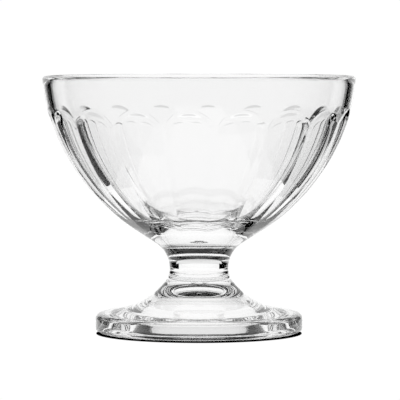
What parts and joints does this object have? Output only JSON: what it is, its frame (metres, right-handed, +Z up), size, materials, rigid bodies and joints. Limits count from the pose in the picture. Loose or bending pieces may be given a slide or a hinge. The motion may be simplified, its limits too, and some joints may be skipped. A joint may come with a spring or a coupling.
{
  "type": "footed dessert glass",
  "caption": "Clear pressed-glass dessert bowl with a plain rim band over arch-topped flutes, on a short solid stem and a broad hollow foot.",
  "frame": {"origin": "centre of the flat ring that the glass stands on", "axes": "+Z up along the glass's axis of revolution, towards the rim; +X is 6.3 degrees from the middle of a flute"},
  "size_m": [0.106, 0.106, 0.087],
  "materials": {
    "pressed_glass": "clear, fire-polished"
  },
  "bodies": {
    "root": {"bowl": "pressed_glass", "stem": "pressed_glass", "foot": "pressed_glass"}
  },
  "joints": []
}
